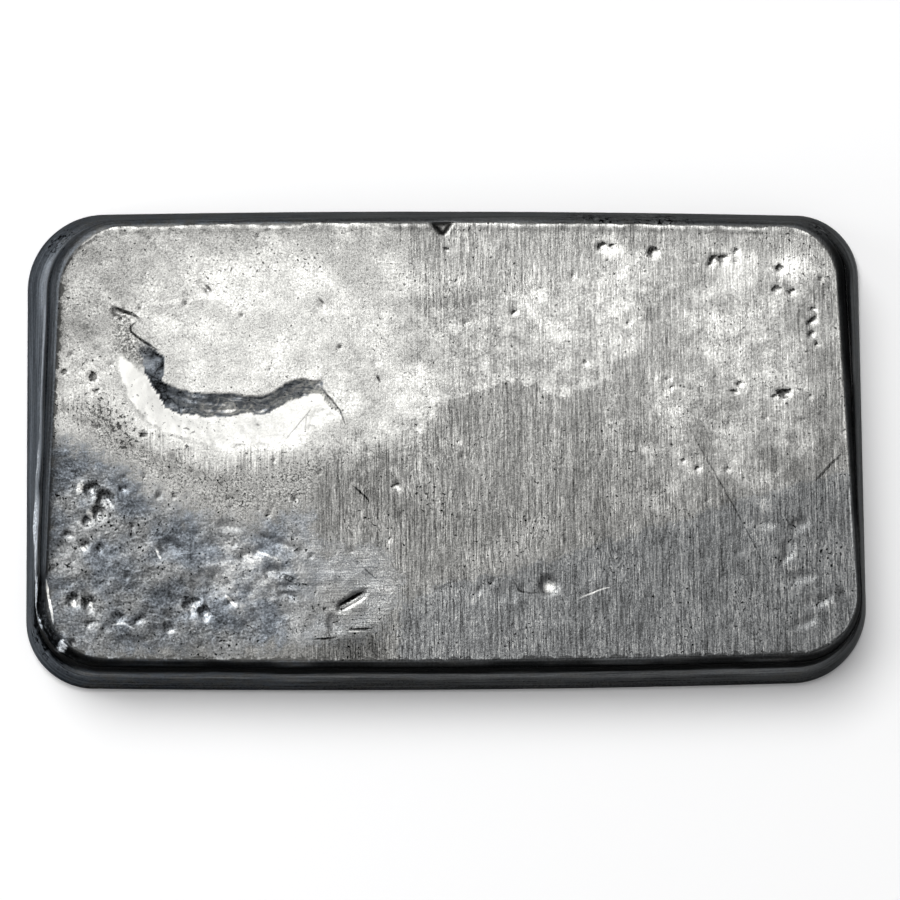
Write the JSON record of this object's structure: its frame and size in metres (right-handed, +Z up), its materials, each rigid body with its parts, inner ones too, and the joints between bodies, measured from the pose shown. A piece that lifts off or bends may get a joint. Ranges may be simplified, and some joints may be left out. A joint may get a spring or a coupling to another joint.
{
  "type": "metal ingot",
  "caption": "Small hand-poured silver ingot: a rounded rectangular bar with leaning walls, a rounded foot and casting faults in its face.",
  "frame": {"origin": "centre of the pour side, which the bar lies on, at floor level", "axes": "+X along the bar's length, +Y across it towards the far long side, +Z up out of the mould face"},
  "size_m": [0.08, 0.046, 0.0088],
  "materials": {
    "cast_silver": "rough cast face, worn and tarnished"
  },
  "bodies": {
    "root": {"ingot": "cast_silver"}
  },
  "joints": []
}
